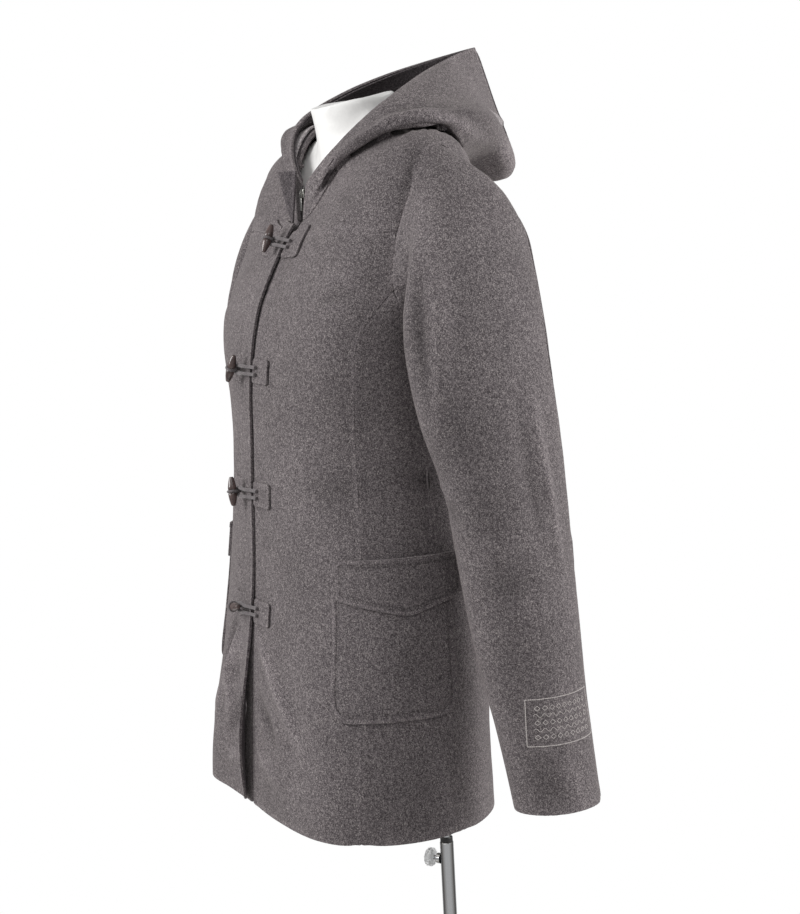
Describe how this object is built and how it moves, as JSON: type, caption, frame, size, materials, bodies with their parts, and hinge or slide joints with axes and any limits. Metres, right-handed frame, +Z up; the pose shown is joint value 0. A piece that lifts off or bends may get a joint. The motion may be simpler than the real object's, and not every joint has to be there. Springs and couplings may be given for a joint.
{
  "type": "duffle coat on a dress form",
  "caption": "Hooded thigh-length duffle coat with toggles, zip and patch pockets, worn by a limbless torso form on a telescopic round-base stand.",
  "frame": {"origin": "centre of the underside of the stand's round base, on the floor", "axes": "+Z up along the pole, -Y out of the coat's front, +X to the wearer's left"},
  "size_m": [0.612, 0.4059, 1.58],
  "materials": {
    "wool": "matte marled wool, brushed nap",
    "facing_wool": "matte dark wool",
    "fleece": "matte grey marled fleece",
    "zip_tape": "matte woven tape",
    "zip_metal": "satin nickel plate",
    "horn": "polished dark horn look",
    "cord": "matte wool-covered cord",
    "form_shell": "satin white",
    "chrome": "polished",
    "clear_plastic": "gloss, frosted clear"
  },
  "bodies": {
    "stand": {"stand_base": "chrome", "stand_tube": "chrome", "clamp_boss": "chrome"},
    "coat": {"back": "wool", "yoke": "wool", "placket": "wool", "placket_top": "wool", "front_left": "wool", "side_left": "wool", "sleeve_left_upper": "wool", "sleeve_left_under": "wool", "hood_left": "wool", "pocket_left": "wool", "pocket_flap_left": "wool", "patch_left_1": "wool", "patch_left_2": "wool", "patch_left_3": "wool", "patch_left_4": "wool", "front_right": "wool", "side_right": "wool", "sleeve_right_upper": "wool", "sleeve_right_under": "wool", "hood_right": "wool", "pocket_right": "wool", "pocket_flap_right": "wool", "patch_right_1": "wool", "patch_right_2": "wool", "patch_right_3": "wool", "patch_right_4": "wool", "hood_facing_left": "facing_wool", "hood_lining_left": "fleece", "zip_tape_left": "zip_tape", "hood_facing_right": "facing_wool", "hood_lining_right": "fleece", "zip_tape_right": "zip_tape", "zip_slider": "zip_metal", "toggle_1": "horn", "toggle_loop_1": "cord", "toggle_cord_1": "cord", "toggle_2": "horn", "toggle_loop_2": "cord", "toggle_cord_2": "cord", "toggle_3": "horn", "toggle_loop_3": "cord", "toggle_cord_3": "cord", "toggle_4": "horn", "toggle_loop_4": "cord", "toggle_cord_4": "cord", "torso_form": "form_shell", "stand_rod": "chrome"},
    "screw": {"clamp_screw": "clear_plastic"},
    "pull": {"zip_pull": "zip_metal"}
  },
  "joints": [
    {"name": "height", "type": "slide", "parent": "stand", "child": "coat", "axis": [0, 0, 1], "range_m": [-0.13, 0.25]},
    {"name": "clamp", "type": "hinge", "parent": "stand", "child": "screw", "pos_m": [0, 0, 0.668], "axis": [-0.829, -0.5592, 0], "continuous": true},
    {"name": "pull_swing", "type": "hinge", "parent": "coat", "child": "pull", "pos_m": [0, -0.13458, 1.4332], "axis": [1, 0, 0], "range_deg": [-150, 0]}
  ]
}
